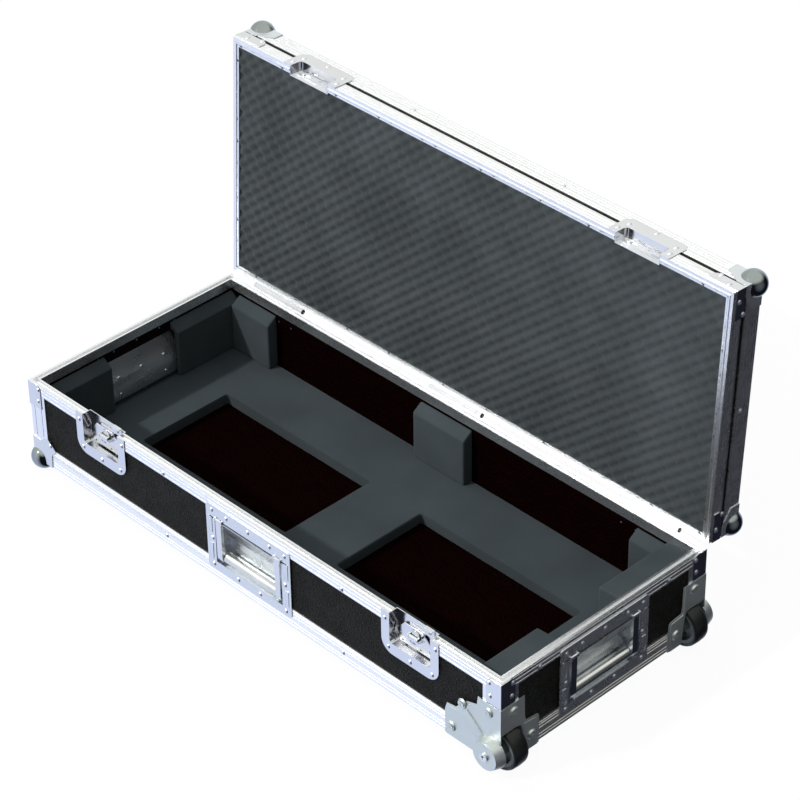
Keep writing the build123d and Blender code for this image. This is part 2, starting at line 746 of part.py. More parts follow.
# Latch, lid half: tray with flange, and the strike plate on its back
def lid_latches():
    trays, strikes = [], []
    half, high = latch_open_half, latch_high_open
    for name, at in latch_places():
        flange = rounded_plate(2 * latch_half, latch_high_h + 40, 14, (latch_high_h - 40) / 2, 0, plate, at)
        outer = rounded_plate(2 * half + 2 * plate, high + plate + 30, 6 + plate, (high + plate - 30) / 2,
                              -tray_depth, tray_depth, at)
        void = rounded_plate(2 * half, high + 40, 6, (high - 40) / 2, tray_back, tray_depth + 9, at)
        tray = (flange + outer) - void
        tray -= slab(at - 99, at + 99, -80, 0, -tray_depth - 1, 5)
        trays.append(on_lid("front", drilled(tray, "front", "lid")))
        strike = outline([(-33, 7), (33, 7), (36, 10), (36, 16), (33, 20), (-30, 20), (-33, 17)], tray_back, 1.5, "w")
        strike -= rounded_plate(14, 6, 2.9, 13.5, tray_back - 1, 5, -17)
        strike -= rounded_plate(18, 2.4, 1.1, 16, tray_back - 1, 5, 15)
        strike += slab(20, 36, 7, 8.5, tray_back, tray_back + 6)
        strikes.append(on_lid("front", Pos(at, 0, 0) * strike))
    save("lid_latch_trays", *trays)
    save("lid_strikes", *strikes)


# Recessed handle
def handle_dish():
    half = handle_open_w / 2
    flange = rounded_plate(handle_w, handle_h, 6, handle_mid_z, 0, plate)
    crease = open_low + 38.0
    deep = -handle_depth
    inner_pts = [
        (9, open_low), (-6, open_low), (deep + 3, open_low + 3), (deep, open_low + 8), (deep, crease),
        (-3, open_high), (9, open_high),
    ]
    outer_pts = [
        (plate, open_low - plate), (-6, open_low - plate), (deep + 2.4, open_low + 1.9),
        (deep - plate, open_low + 7.6), (deep - plate, crease + 0.4), (-3.5, open_high + plate),
        (plate, open_high + plate),
    ]
    body = flange + outline(outer_pts, -half - plate, 2 * half + 2 * plate, "u")
    body -= outline(inner_pts, -half, 2 * half, "u")
    for side in (-1, 1):
        mid = side * arm_u
        # a notch for the arm's eye, closed behind, with an ear on each side of it
        wide = notch_half + ear_t
        body += slab(mid - wide, mid + wide, open_high - 1, notch_top, -notch_depth, plate)
        for u0 in (mid - wide, mid + notch_half):
            body += slab(u0, u0 + ear_t, pivot_v - 3.2, pivot_v + 3.2, 0, pivot_w + 3.0)
        body -= slab(mid - notch_half, mid + notch_half, open_high - 9, notch_top - 2, -notch_depth + plate, 9)
    body -= rod(bail_pin_r, -arm_u - 20, arm_u + 20, "u", v=pivot_v, w=pivot_w)
    for u, v, w0, w1 in ((-46, 75.5, -19.5, -17), (0, 75.5, -19.5, -17), (46, 75.5, -19.5, -17),
                         (-46, 46, deep - 2.4, deep - 1), (46, 46, deep - 2.4, deep - 1)):
        body += rod(2.6, w0, w1, u=u, v=v)
    rib = slab(-handle_w / 2 + 5, -half - 6, handle_mid_z - 40, handle_mid_z - 12, plate - 0.1, plate + 0.7)
    rib += slab(-handle_w / 2 + 5, -half - 6, handle_mid_z + 8, handle_mid_z + 36, plate - 0.1, plate + 0.7)
    body += rib
    body += mirror(rib, about=Plane.YZ)
    return body


def handle_bail():
    grip_v = pivot_v - bail_drop
    lean_w = -grip_deep
    pieces = None
    for side in (-1, 1):
        mid = side * arm_u
        u0, u1 = mid - bail_arm_w / 2, mid + bail_arm_w / 2
        half = bail_arm_t / 2
        arm = outline([
            (pivot_w - half, pivot_v), (pivot_w + half, pivot_v), (pivot_w + half - 0.6, grip_v),
            (pivot_w, grip_v - 4.5), (lean_w - 3.5, grip_v - 4.5), (lean_w - 5.5, grip_v), (lean_w - 4, grip_v + 4.5),
            (pivot_w - half - 2, grip_v + 11),
        ], u0, bail_arm_w, "u")
        arm += rod(eye_r, u0, u1, "u", v=pivot_v, w=pivot_w)
        arm -= rod(bail_pin_r + shaft_gap, u0 - 1, u1 + 1, "u", v=pivot_v, w=pivot_w)
        pieces = arm if pieces is None else pieces + arm
    core = rod(4.0, -arm_u, arm_u, "u", v=grip_v, w=lean_w)
    bail = pieces + core
    reach = arm_u - bail_arm_w / 2 - 0.2
    grip = rod(grip_r, -reach, reach, "u", v=grip_v, w=lean_w)
    grip = fillet(grip.edges().filter_by(GeomType.CIRCLE), 1.5)
    grip -= rod(4.05, -reach - 1, reach + 1, "u", v=grip_v, w=lean_w)
    return bail, grip


def handle_pins():
    out = []
    for side in (-1, 1):
        mid = side * arm_u
        reach = bail_arm_w / 2 + joint_gap + ear_t
        out.append(rod(bail_pin_r, mid - reach, mid + reach, "u", v=pivot_v, w=pivot_w))
    return out


def handles():
    pins = []
    bail, grip = handle_bail()
    dish = handle_dish()
    for side, at in handle_places():
        plane = face_plane(side)
        spot = Pos(at, 0, 0)
        save(f"handle_dish_{side}", plane * drilled(spot * dish, side, "base"))
        save(f"handle_bail_{side}", plane * spot * bail)
        save(f"handle_grip_{side}", plane * spot * grip)
        pins += [plane * spot * pin for pin in handle_pins()]
    save("handle_pins", *pins)


# Hinges: lower leaf on the base, upper leaf on the lid, pin between
def hinges():
    low_leaves, high_leaves, pins = [], [], []
    plane = face_plane("back", hinge_z)
    half = hinge_len / 2
    stop0 = hinge_stop_at - hinge_stop_w / 2
    stop1 = hinge_stop_at + hinge_stop_w / 2
    for place in hinge_places:
        spot = Pos(-place, 0, 0)
        lower = slab(-half, half, -leaf_low, -knuckle_r - 0.6, 0, sheet)
        knuckles = ((-half, -stop1 - joint_gap), (-stop0 + joint_gap, half))
        for u0, u1 in knuckles:
            lower += slab(u0, u1, -knuckle_r - 1, 0, 0, sheet)
            lower += rod(knuckle_r, u0, u1, "u", w=hinge_off)
        lower -= rod(pin_r + shaft_gap, -99, 99, "u", w=hinge_off)
        upper = slab(-half, half, knuckle_r + 0.8, leaf_high, 0, sheet)
        upper += slab(-stop1, -stop0, 0.6, knuckle_r + 1, 0, sheet)
        upper += rod(knuckle_r, -stop1, -stop0, "u", w=hinge_off)
        upper -= rod(pin_r + shaft_gap, -99, 99, "u", w=hinge_off)
        pin = rod(pin_r, -half + 0.5, half - 0.5, "u", w=hinge_off)
        low_plane_shape = Pos(0, hinge_z, 0) * spot * lower
        low_leaves.append(face_plane("back") * drilled(low_plane_shape, "back", "base"))
        high_shape = Pos(0, hinge_z - lid_z, 0) * spot * upper
        high_leaves.append(on_lid("back", drilled(high_shape, "back", "lid")))
        pins.append(plane * spot * pin)
    save("hinge_leaves_lower", *low_leaves)
    save("hinge_leaves_upper", *high_leaves)
    save("hinge_pins", *pins)


# Foam
def bevelled(u0, u1, low, high, deep, bevel):
    # Pad on a wall: outer face at w = -inner - pad_gap, its top inner edge cut back
    w_out = -inner - pad_gap
    w_in = -inner - deep
    points = [(w_out, low), (w_in, low), (w_in, high - bevel), (w_out - 2.5, high), (w_out, high)]
    return outline(points, u0, u1 - u0, "u")


def foam():
    zones = pocket_zone(0.5) + base_dishes(1.0, 1.0) + rim_leg_zones(pad_gap)
    nuts = nut_zone(9.5)
    slab_z0, slab_z1 = ply, floor_foam_top
    floor = slab(-foam_x, foam_x, -foam_y, foam_y, slab_z0, slab_z1)
    for x0, x1 in cutouts:
        floor -= slab(x0, x1, cutout_y[0], cutout_y[1], 0, 99)
    save("foam_floor", without(floor, zones + nuts))
    low = floor_foam_top + pad_gap
    left = [bevelled(-y1, -y0, low, pad_top, pad_t, pad_bevel) for y0, y1 in left_pads]
    save("foam_left_pads", *[without(face_plane("left") * s, zones) for s in left])
    right = [bevelled(y0, y1, low, end_pad_top, end_pad_t, 2.5) for y0, y1 in right_pads]
    save("foam_right_pads", *[without(face_plane("right") * s, zones + nuts) for s in right])
    back = [bevelled(-x1, -x0, low, pad_top, pad_t, pad_bevel) for x0, x1 in back_blocks]
    save("foam_back_blocks", *[without(face_plane("back") * s, zones) for s in back])
    front = [bevelled(x0, x1, low, pad_top, pad_t, pad_bevel) for x0, x1 in front_blocks]
    save("foam_front_blocks", *[without(face_plane("front") * s, zones) for s in front])


# Lid: roof, walls, edging, rim, braces and foam, made closed and then swung open
def lid_panels():
    roof_top = lid_h - sheet
    roof = slab(-half_len + sheet, half_len - sheet, -half_dep + sheet, half_dep - sheet,
                lid_z + roof_top - ply, lid_z + roof_top)
    save("lid_roof_panel", swing * roof)
    zones = [lid_tray_zone(at, cut_gap) for name, at in latch_places()]
    for side in SIDES:
        half = half_width(side) - (sheet if side in ("front", "back") else inner)
        wall = drilled(slab(-half, half, rim_cap, roof_top - ply, -inner, -sheet), side, "lid")
        save(f"lid_{side}_panel", swing * without(face_plane(side, lid_z) * wall, zones))


def lid_edging():
    top = lid_h
    ell = [(0, top), (0, lid_edge_low), (-sheet, lid_edge_low), (-sheet, top - sheet),
           (-edge_leg, top - sheet), (-edge_leg, top)]
    pieces = []
    for side in SIDES:
        half = half_width(side)
        body = ribbed(outline(ell, -half, 2 * half, "u"), half, (31, 36.5, 44, 49.5, 55))
        body = drilled(body & mitre(side, lid_edge_low - 1, top + 1), side, "lid")
        pieces.append(on_lid(side, body))
    save("lid_top_edging", *pieces)


def lid_rims():
    high = lid_rim_h
    points = [
        (0, 0), (-tongue_w0, 0), (-tongue_w0 - 0.4, -tongue_h), (-tongue_w1 + 0.4, -tongue_h), (-tongue_w1, 0),
        (-rim_w, 0), (-rim_w, 3), (-inner - sheet, 4.5), (-inner - sheet, rim_h - 2), (-inner, rim_h - 2),
        (-inner, rim_cap), (-sheet, rim_cap), (-sheet, high), (0, high),
    ]
    zones = [lid_tray_zone(at, cut_gap) for name, at in latch_places()]
    lengths = [rim_length(s, points, lid_z, "lid", (3.0, 9.0, 15.0), zones) for s in SIDES]
    save("lid_rim", *[swing * length for length in lengths])


def lid_braces():
    shape = brace(52, 47, 6, lid_h - 35.5, 8)
    corner = Pos(-half_len, -half_dep, lid_z) * shape
    pieces = drilled_all(corner_set(corner), "lid", lid_z)
    save("lid_corner_braces", *[swing * p for p in pieces])


def lid_foam():
    top = lid_z + lid_h - sheet - ply - pad_gap
    step = rim_w - inner + pad_gap
    low = lid_z + lid_foam_low
    body = slab(-foam_x + step, foam_x - step, -foam_y + step, foam_y - step, low, lid_z + rim_h)
    body += slab(-foam_x, foam_x, -foam_y, foam_y, lid_z + rim_h, top)
    zones = [lid_tray_zone(at, 1.0, 1.0) for name, at in latch_places()]
    save("lid_foam", swing * without(body, zones))


base_panels()
bottom_edging()
corner_angles()
base_rims()
base_braces()
ball_corners()
wheels()
latches()
handles()
hinges()
foam()
lid_panels()
lid_edging()
lid_rims()
lid_braces()
lid_latches()
lid_foam()
save("rivets_base", *rivet_group("base"))
save("rivets_lid", *[swing * r for r in rivet_group("lid")])

for node, solids in parts.items():
    export_step(Compound(children=solids), f"parts/{node}.step")
    print(node, len(solids))
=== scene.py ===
import bpy
import math
from mathutils import Matrix, Vector, noise


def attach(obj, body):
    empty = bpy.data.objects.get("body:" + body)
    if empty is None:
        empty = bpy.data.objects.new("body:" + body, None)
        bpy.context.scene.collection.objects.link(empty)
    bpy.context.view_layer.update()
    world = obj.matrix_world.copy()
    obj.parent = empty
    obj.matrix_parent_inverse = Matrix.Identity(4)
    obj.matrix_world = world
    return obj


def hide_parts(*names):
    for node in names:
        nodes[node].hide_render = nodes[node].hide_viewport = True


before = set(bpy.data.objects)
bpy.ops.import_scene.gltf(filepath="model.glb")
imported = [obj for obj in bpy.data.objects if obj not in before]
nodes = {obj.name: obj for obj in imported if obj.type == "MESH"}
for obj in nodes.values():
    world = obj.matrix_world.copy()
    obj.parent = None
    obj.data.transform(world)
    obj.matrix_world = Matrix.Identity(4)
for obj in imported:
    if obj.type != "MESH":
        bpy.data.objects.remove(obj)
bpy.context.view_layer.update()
mm = 0.001
print("frame loaded:", len(nodes), "nodes")

# The case's own sizes, in mm and degrees, as the CAD has them
case = {
    "halfLength": 500.0, "halfDepth": 206.0, "lidHeight": 143.9,
    "hingeY": 210.7, "hingeZ": 143.7, "lidAngle": 93.2, "floorZ": -20.5,
}
# From the shut lid's place to the open lid's, and back again
swing = (
    Matrix.Translation(Vector((0, case["hingeY"], case["hingeZ"])) * mm)
    @ Matrix.Rotation(math.radians(-case["lidAngle"]), 4, "X")
    @ Matrix.Translation(Vector((0, -case["hingeY"], -case["hingeZ"])) * mm)
)
unswing = swing.inverted()

cameraSet = {
    "azimuth": 46.23, "elevation": 35.62, "roll": -0.85, "lens": 139.46, "sensor": 36, "reach": 50,
    "target": (0.0, -6.0, 148.5), "distance": 4520.0, "shiftRight": 71.5, "shiftUp": 86.6,
}


def makeCamera(settings):
    az, el = math.radians(settings["azimuth"]), math.radians(settings["elevation"])
    back = Vector((math.sin(az) * math.cos(el), -math.cos(az) * math.cos(el), math.sin(el)))
    right = Vector((math.cos(az), math.sin(az), 0))
    up = back.cross(right)
    c, s = math.cos(math.radians(settings["roll"])), math.sin(math.radians(settings["roll"]))
    right, up = c * right + s * up, -s * right + c * up
    spot = Vector(settings["target"]) + back * settings["distance"]
    spot += right * settings["shiftRight"] + up * settings["shiftUp"]
    camera = bpy.data.objects.new("camera", bpy.data.cameras.new("camera"))
    bpy.context.scene.collection.objects.link(camera)
    camera.data.lens = settings["lens"]
    camera.data.sensor_width = settings["sensor"]
    camera.data.clip_end = settings["reach"]
    turn = Matrix((right, up, back)).transposed().to_4x4()
    camera.matrix_world = Matrix.Translation(spot * mm) @ turn
    bpy.context.scene.camera = camera


lightSet = {
    "travel": (0.362, 0.692, -0.622), "strength": 2.3, "angle": 2.5, "colour": (1.0, 0.985, 0.95),
}


def makeKeyLight(settings):
    lamp = bpy.data.lights.new("keyLight", "SUN")
    lamp.energy = settings["strength"]
    lamp.angle = math.radians(settings["angle"])
    lamp.color = settings["colour"]
    key = bpy.data.objects.new("keyLight", lamp)
    bpy.context.scene.collection.objects.link(key)
    key.rotation_euler = Vector(settings["travel"]).to_track_quat("-Z", "Y").to_euler()


def linkNodes(tree, pairs):
    for a, b in pairs:
        tree.links.new(a, b)


def addNode(tree, kind, values=(), **options):
    made = tree.nodes.new(kind)
    for key, value in options.items():
        setattr(made, key, value)
    for key, value in dict(values).items():
        made.inputs[key].default_value = value
    return made


def addRamp(tree, fac, stops):
    ramp = addNode(tree, "ShaderNodeValToRGB")
    marks = ramp.color_ramp.elements
    while len(marks) < len(stops):
        marks.new(0.5)
    for mark, (place, colour) in zip(marks, stops):
        mark.position = place
        mark.color = (*colour, 1)
    tree.links.new(fac, ramp.inputs["Fac"])
    return ramp.outputs["Color"]


def blend(tree, kind, first, second):
    made = addNode(tree, "ShaderNodeMix", {0: 1.0}, data_type="RGBA", blend_type=kind)
    linkNodes(tree, [(first, made.inputs[6]), (second, made.inputs[7])])
    return made.outputs[2]


def calc(tree, kind, first, second=None):
    # One sum: the second side may be another node's result or a plain number
    made = addNode(tree, "ShaderNodeMath", operation=kind)
    tree.links.new(first, made.inputs[0])
    if isinstance(second, float):
        made.inputs[1].default_value = second
    elif second is not None:
        tree.links.new(second, made.inputs[1])
    return made.outputs[0]


def average(tree, first, second):
    return calc(tree, "MULTIPLY", calc(tree, "ADD", first, second), 0.5)


# What the metal mirrors: bright on the left and in front, dark on the right, a bright ceiling.
# "sides" runs from -X to +X, the other ramps from straight down to straight up
studioSet = {
    "sides": [
        (0.0, (0.80, 0.82, 0.86)), (0.30, (0.97, 0.98, 1.0)), (0.50, (0.55, 0.56, 0.58)),
        (0.62, (0.014, 0.014, 0.018)), (0.86, (0.014, 0.014, 0.018)), (1.0, (0.22, 0.22, 0.23)),
    ],
    "ceiling": [(0.64, (0, 0, 0)), (0.84, (0.97, 0.98, 1.0))],
    "tint": [(0.38, (0.80, 0.87, 1.06)), (0.62, (1.02, 1.02, 0.95))],
    "fill": 1.20,
    "fillHeights": [(0.35, (0.35, 0.35, 0.35)), (0.75, (1, 1, 1))],
    "fillSides": [(0.45, (1, 1, 1)), (0.85, (0.26, 0.26, 0.26))],
}


def makeStudio(settings):
    world = bpy.data.worlds.new("studio")
    bpy.context.scene.world = world
    world.use_nodes = True
    tree = world.node_tree
    tree.nodes.clear()
    coords = addNode(tree, "ShaderNodeTexCoord")
    split = addNode(tree, "ShaderNodeSeparateXYZ")
    tree.links.new(coords.outputs["Generated"], split.inputs[0])
    side, height = (spread(tree, split.outputs[axis], 0.0, 1.0, -1.0, 1.0) for axis in "XZ")
    sides = addRamp(tree, side, settings["sides"])
    lit = blend(tree, "LIGHTEN", sides, addRamp(tree, height, settings["ceiling"]))
    tinted = blend(tree, "MULTIPLY", lit, addRamp(tree, height, settings["tint"]))
    # Soft fill light on what isn't mirrored: strongest from above and from the left
    fillAbove = addRamp(tree, height, settings["fillHeights"])
    soft = blend(tree, "MULTIPLY", fillAbove, addRamp(tree, side, settings["fillSides"]))
    path = addNode(tree, "ShaderNodeLightPath")
    glossy = addNode(tree, "ShaderNodeBackground", {"Strength": 1.0})
    diffuse = addNode(tree, "ShaderNodeBackground", {"Strength": settings["fill"]})
    white = addNode(tree, "ShaderNodeBackground", {"Color": (1, 1, 1, 1), "Strength": 1.0})
    pickGloss = addNode(tree, "ShaderNodeMixShader")
    pickCamera = addNode(tree, "ShaderNodeMixShader")
    out = addNode(tree, "ShaderNodeOutputWorld")
    linkNodes(tree, [
        (tinted, glossy.inputs["Color"]), (soft, diffuse.inputs["Color"]),
        (path.outputs["Is Glossy Ray"], pickGloss.inputs[0]),
        (diffuse.outputs[0], pickGloss.inputs[1]), (glossy.outputs[0], pickGloss.inputs[2]),
        (path.outputs["Is Camera Ray"], pickCamera.inputs[0]),
        (pickGloss.outputs[0], pickCamera.inputs[1]), (white.outputs[0], pickCamera.inputs[2]),
        (pickCamera.outputs[0], out.inputs["Surface"]),
    ])


floorSet = {"size": 60, "colour": (0.88, 0.88, 0.88), "white": 0.95}


def makeFloor(settings):
    bpy.ops.object.select_all(action="DESELECT")
    bpy.ops.mesh.primitive_plane_add(size=settings["size"], location=(0, 0, case["floorZ"] * mm))
    floor = bpy.context.object
    floor.name = "floor"
    mat = bpy.data.materials.new("paleFloor")
    mat.use_nodes = True
    tree = mat.node_tree
    tree.nodes.clear()
    matt = addNode(tree, "ShaderNodeBsdfDiffuse", {"Color": (*settings["colour"], 1)})
    glow = addNode(tree, "ShaderNodeEmission", {"Color": (1, 1, 1, 1), "Strength": 1.0})
    path = addNode(tree, "ShaderNodeLightPath")
    share = calc(tree, "MULTIPLY", path.outputs["Is Camera Ray"], settings["white"])
    mix = addNode(tree, "ShaderNodeMixShader")
    out = addNode(tree, "ShaderNodeOutputMaterial")
    linkNodes(tree, [
        (share, mix.inputs[0]), (matt.outputs[0], mix.inputs[1]), (glow.outputs[0], mix.inputs[2]),
        (mix.outputs[0], out.inputs["Surface"]),
    ])
    floor.data.materials.append(mat)
    floor.visible_glossy = False


socketOf = {
    "metal": "Metallic", "rough": "Roughness", "sheen": "Sheen Weight", "gloss": "Specular IOR Level",
    "brushed": "Anisotropic",
}


def newFinish(name, **values):
    mat = bpy.data.materials.new(name)
    mat.use_nodes = True
    tree = mat.node_tree
    shader = tree.nodes["Principled BSDF"]
    for key, value in values.items():
        shader.inputs[socketOf[key]].default_value = value
    coords = addNode(tree, "ShaderNodeTexCoord")
    return mat, tree, shader, coords.outputs["Object"]


def placed(tree, coords, scale):
    where = addNode(tree, "ShaderNodeMapping", {"Scale": scale})
    tree.links.new(coords, where.inputs["Vector"])
    return where.outputs["Vector"]


def grain(tree, vector, scale, detail=3.0, rough=0.55):
    made = addNode(tree, "ShaderNodeTexNoise", {"Scale": scale, "Detail": detail, "Roughness": rough})
    tree.links.new(vector, made.inputs["Vector"])
    return made.outputs["Fac"]


def spread(tree, value, low, high, start=0.3, end=0.7):
    made = addNode(tree, "ShaderNodeMapRange", {
        "From Min": start, "From Max": end, "To Min": low, "To Max": high,
    })
    tree.links.new(value, made.inputs["Value"])
    return made.outputs["Result"]


def bumpFrom(tree, shader, height, strength, depth, after=None):
    made = addNode(tree, "ShaderNodeBump", {"Strength": strength, "Distance": depth})
    tree.links.new(height, made.inputs["Height"])
    if after is not None:
        tree.links.new(after, made.inputs["Normal"])
    tree.links.new(made.outputs["Normal"], shader.inputs["Normal"])
    return made.outputs["Normal"]


makeCamera(cameraSet)
makeKeyLight(lightSet)
makeStudio(studioSet)
makeFloor(floorSet)
bpy.context.scene.view_settings.view_transform = "Standard"
print("studio ready")


# "inner" bounds the bare board inside the base: half the length, half the depth and the floor, in metres
laminateSet = {
    "low": (0.0012, 0.0012, 0.0010), "high": (0.0170, 0.0168, 0.0146), "speckle": 480.0,
    "pebble": 300.0, "warp": 420.0, "relief": 0.0030, "rough": (0.42, 0.60), "patch": 35.0,
    "inner": (0.4915, 0.1975, 0.004), "boardLow": 0.45, "board": (0.0048, 0.0006, 0.0005),
    "fibres": (6, 60, 60), "fibreScale": 6.0, "boardRough": 0.85,
}


def laminateFinish(settings, name, inside, gloss=0.08):
    # Pebbled black laminate outside; inside the base the bare stained board shows
    mat, tree, shader, coords = newFinish(name, gloss=gloss)
    pebble = addNode(tree, "ShaderNodeTexVoronoi", {"Scale": settings["pebble"]}, feature="SMOOTH_F1")
    tree.links.new(coords, pebble.inputs["Vector"])
    relief = calc(tree, "ADD", pebble.outputs["Distance"], grain(tree, coords, settings["warp"], 2.0))
    bumpFrom(tree, shader, relief, 1.0, settings["relief"])
    speckle = grain(tree, coords, settings["speckle"])
    colour = addRamp(tree, speckle, [(0.35, settings["low"]), (0.7, settings["high"])])
    rough = spread(tree, grain(tree, coords, settings["patch"]), *settings["rough"])
    if inside:
        halfX, halfY, low = settings["inner"]
        split = addNode(tree, "ShaderNodeSeparateXYZ")
        tree.links.new(coords, split.inputs[0])
        mask = calc(tree, "GREATER_THAN", split.outputs["Z"], low)
        for axis, limit in (("X", halfX), ("Y", halfY)):
            within = calc(tree, "LESS_THAN", calc(tree, "ABSOLUTE", split.outputs[axis]), limit)
            mask = calc(tree, "MULTIPLY", mask, within)
        fibres = grain(tree, placed(tree, coords, settings["fibres"]), settings["fibreScale"], 4.0)
        darker = tuple(settings["boardLow"] * c for c in settings["board"])
        board = addRamp(tree, fibres, [(0.3, darker), (0.7, settings["board"])])
        pick = addNode(tree, "ShaderNodeMix", data_type="RGBA")
        linkNodes(tree, [(mask, pick.inputs[0]), (colour, pick.inputs[6]), (board, pick.inputs[7])])
        colour = pick.outputs[2]
        rough = calc(tree, "MAXIMUM", calc(tree, "MULTIPLY", mask, settings["boardRough"]), rough)
    linkNodes(tree, [(colour, shader.inputs["Base Color"]), (rough, shader.inputs["Roughness"])])
    return mat


metalSet = {"streaks": 60.0, "patches": 22.0, "darken": 1.8, "wave": 55.0, "waveDepth": 0.0012}


def metalFinish(name, colour, rough, streak=(1, 1, 1), wave=0.0, brushed=0.0, mottle=0.10, metal=1.0):
    # A metal with fine streaks along one way, uneven polish and, on some parts, a slight wave
    mat, tree, shader, coords = newFinish(name, metal=metal, brushed=brushed)
    lines = grain(tree, placed(tree, coords, streak), metalSet["streaks"], 5.0, 0.65)
    patches = grain(tree, coords, metalSet["patches"], 4.0)
    darker = tuple(c * (1 - metalSet["darken"] * mottle) for c in colour)
    shade = addRamp(tree, patches, [(0.30, darker), (0.68, colour)])
    polish = spread(tree, average(tree, lines, patches), *rough, 0.35, 0.65)
    linkNodes(tree, [(shade, shader.inputs["Base Color"]), (polish, shader.inputs["Roughness"])])
    if wave:
        bumpFrom(tree, shader, grain(tree, coords, metalSet["wave"], 1.0), wave, metalSet["waveDepth"])
    return mat


foamSet = {
    "floor": [(0.36, (0.030, 0.039, 0.044)), (0.64, (0.047, 0.060, 0.067))],
    "lid": [(0.36, (0.030, 0.037, 0.041)), (0.64, (0.054, 0.064, 0.070))],
    "cells": 700.0, "patches": 9.0, "pores": 900.0, "poreDepth": 0.0004, "cellDepth": 0.0006,
}


def foamFinish(settings, name, part):
    # Open-cell foam: fine speckle with pores, and broad faint patches
    mat, tree, shader, coords = newFinish(name, rough=0.95, sheen=0.05, gloss=0.15)
    cells = grain(tree, coords, settings["cells"], 3.0, 0.7)
    patches = grain(tree, coords, settings["patches"], 2.0)
    colour = addRamp(tree, average(tree, cells, patches), settings[part])
    tree.links.new(colour, shader.inputs["Base Color"])
    pores = addNode(tree, "ShaderNodeTexVoronoi", {"Scale": settings["pores"]})
    tree.links.new(coords, pores.inputs["Vector"])
    fine = bumpFrom(tree, shader, pores.outputs["Distance"], 0.35, settings["poreDepth"])
    bumpFrom(tree, shader, cells, 0.5, settings["cellDepth"], fine)
    return mat


def mouldedFinish(name, low, high, rough, scale=500.0, depth=0.0002):
    # Moulded plastic or rubber with a fine skin
    mat, tree, shader, coords = newFinish(name, gloss=0.4)
    colour = addRamp(tree, grain(tree, coords, 30.0), [(0.3, low), (0.7, high)])
    linkNodes(tree, [
        (colour, shader.inputs["Base Color"]),
        (spread(tree, grain(tree, coords, 60.0), *rough), shader.inputs["Roughness"]),
    ])
    bumpFrom(tree, shader, grain(tree, coords, scale, 2.0), 0.4, depth)
    return mat


aluminium = (0.92, 0.93, 0.95)
finishes = {
    "panel": laminateFinish(laminateSet, "blackLaminate", False),
    "board": laminateFinish(laminateSet, "blackLaminateBoard", True),
    "floor": laminateFinish(laminateSet, "stainedBoard", True, 0.01),
    "alongX": metalFinish("aluminiumAlongX", aluminium, (0.26, 0.29), (1, 30, 30), mottle=0.01, metal=0.97),
    "alongY": metalFinish("aluminiumAlongY", aluminium, (0.26, 0.29), (30, 1, 30), mottle=0.01, metal=0.97),
    "edge": metalFinish("paleAluminium", (1.0, 1.0, 0.97), (0.28, 0.31), (1, 30, 30), mottle=0.0, metal=0.94),
    "steel": metalFinish("brightSteel", (0.80, 0.81, 0.84), (0.12, 0.20), wave=0.05, mottle=0.02),
    "dish": metalFinish("pressedSteel", (0.74, 0.77, 0.81), (0.26, 0.30), mottle=0.01, metal=0.93),
    "rivet": metalFinish("rivetSteel", (0.82, 0.85, 0.92), (0.30, 0.40), mottle=0.02),
    "ball": metalFinish("polishedSteel", (0.36, 0.40, 0.40), (0.05, 0.10), wave=0.05, mottle=0.05),
    "zinc": metalFinish("zincPlate", (0.62, 0.67, 0.66), (0.34, 0.44), wave=0.03, mottle=0.02, metal=0.88),
    "grip": metalFinish("brushedGrip", (0.86, 0.87, 0.84), (0.18, 0.30), (1, 20, 20), brushed=0.4),
    "foam": foamFinish(foamSet, "cutFoam", "floor"),
    "lidFoam": foamFinish(foamSet, "profiledFoam", "lid"),
    "hub": mouldedFinish("hubPlastic", (0.075, 0.090, 0.093), (0.120, 0.140, 0.145), (0.35, 0.5)),
    "tyre": mouldedFinish("tyreRubber", (0.004, 0.004, 0.004), (0.010, 0.010, 0.011), (0.30, 0.42), 900.0),
}
ownFinish = {
    "base_floor_panel": "floor", "base_back_panel": "floor", "base_rim_short": "alongY",
    "base_bottom_edging": "edge",
}
# The first of these words that a node's name holds says its finish
wordFinish = {
    "panel": "panel", "dish": "dish", "rivet": "rivet", "edging": "alongX", "rim": "alongX",
    "angles": "alongX", "ball": "ball", "bracket_screws": "zinc", "wheel_bracket": "zinc", "grip": "grip",
    "hub": "hub", "tyre": "tyre", "foam": "foam",
}


def finishFor(name):
    if name in ownFinish:
        return finishes[ownFinish[name]]
    finish = next((found for word, found in wordFinish.items() if word in name), "steel")
    if finish == "panel" and name.startswith("base"):
        finish = "board"
    if finish == "foam" and name.startswith("lid"):
        finish = "lidFoam"
    return finishes[finish]


def paint(piece, mat):
    piece.data.materials.clear()
    piece.data.materials.append(mat)


for name, node in nodes.items():
    for slot in node.material_slots:
        slot.material = finishFor(name)
print("finishes on the carried-over parts")


def selectOnly(piece):
    bpy.ops.object.select_all(action="DESELECT")
    bpy.context.view_layer.objects.active = piece
    piece.select_set(True)


mergeSet = {"near": 0.02, "flat": 0.5}


def cadCopy(name, node):
    # A merged copy of a carried-over part's mesh, as the start of a finer piece
    piece = bpy.data.objects.new(name, nodes[node].data.copy())
    bpy.context.scene.collection.objects.link(piece)
    selectOnly(piece)
    piece.data.materials.clear()
    bpy.ops.object.mode_set(mode="EDIT")
    bpy.ops.mesh.select_all(action="SELECT")
    bpy.ops.mesh.remove_doubles(threshold=mergeSet["near"] * mm)
    bpy.ops.mesh.dissolve_limited(angle_limit=math.radians(mergeSet["flat"]))
    bpy.ops.object.mode_set(mode="OBJECT")
    return piece


def applyAll(piece):
    selectOnly(piece)
    for modifier in list(piece.modifiers):
        bpy.ops.object.modifier_apply(modifier=modifier.name)


def smooth(piece, angle):
    selectOnly(piece)
    bpy.ops.object.shade_smooth_by_angle(angle=math.radians(angle))


def finishPiece(piece, body, mat, replaced):
    paint(piece, mat)
    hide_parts(*replaced)
    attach(piece, body)


